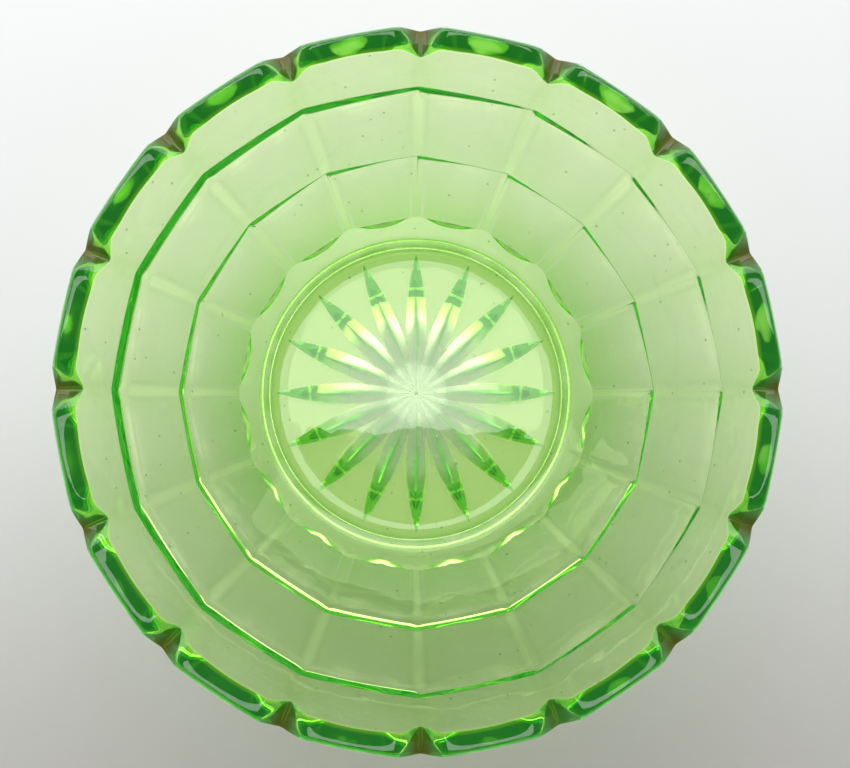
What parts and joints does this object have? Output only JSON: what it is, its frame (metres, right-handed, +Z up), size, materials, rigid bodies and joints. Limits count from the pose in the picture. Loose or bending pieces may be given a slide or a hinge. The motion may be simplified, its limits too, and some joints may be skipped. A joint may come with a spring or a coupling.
{
  "type": "pressed glass dish",
  "caption": "Round pressed green glass dish with panelled, stepped sides, a notched thick rim, a foot ring and a ray star under its base.",
  "frame": {"origin": "centre of the foot ring on the table plane", "axes": "+Z up along the dish's axis; a corner between panels, a star ray and a rim notch lie on +X, and again on +Y"},
  "size_m": [0.2196, 0.2196, 0.076],
  "materials": {
    "green_glass": "fire-polished clear pale green uranium glass, darker green where it is seen edge on"
  },
  "bodies": {
    "root": {"foot_ring": "green_glass", "star_base": "green_glass", "heel": "green_glass", "lower_tier": "green_glass", "middle_tier": "green_glass", "upper_tier": "green_glass", "rim": "green_glass"}
  },
  "joints": []
}
